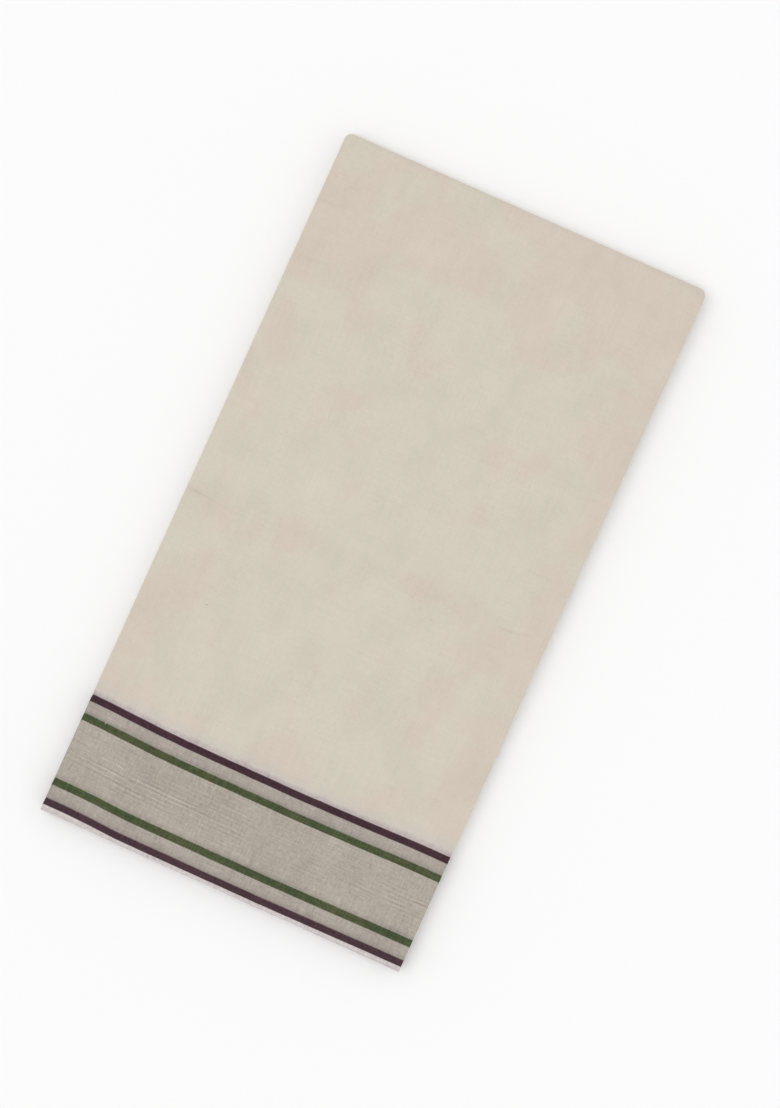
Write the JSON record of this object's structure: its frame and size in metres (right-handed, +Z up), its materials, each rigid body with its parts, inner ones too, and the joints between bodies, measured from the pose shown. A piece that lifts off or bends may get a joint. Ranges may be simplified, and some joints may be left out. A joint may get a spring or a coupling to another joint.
{
  "type": "folded handloom cotton sari",
  "caption": "Handloom cotton sari folded into a long flat stack, with a thick round fold at one end and woven striped borders at the open end, to lie on a shelf or table.",
  "frame": {"origin": "the middle of the flat underside, where the folded cloth rests", "axes": "+X across the panel to the right with the bordered open end towards you, +Y along the folded length from the open end to the round fold, +Z up"},
  "size_m": [0.305, 0.579, 0.0152],
  "materials": {
    "outer_cotton": "matt cream handloom cotton, with aubergine and green stripes round a dull pale band at the selvedge",
    "inner_cotton": "the same cotton in the pleated plies, with pale selvedges"
  },
  "bodies": {
    "root": {"top_stretch": "outer_cotton", "second_stretch": "inner_cotton", "hidden_layers": "inner_cotton", "under_stretch": "outer_cotton"}
  },
  "joints": []
}
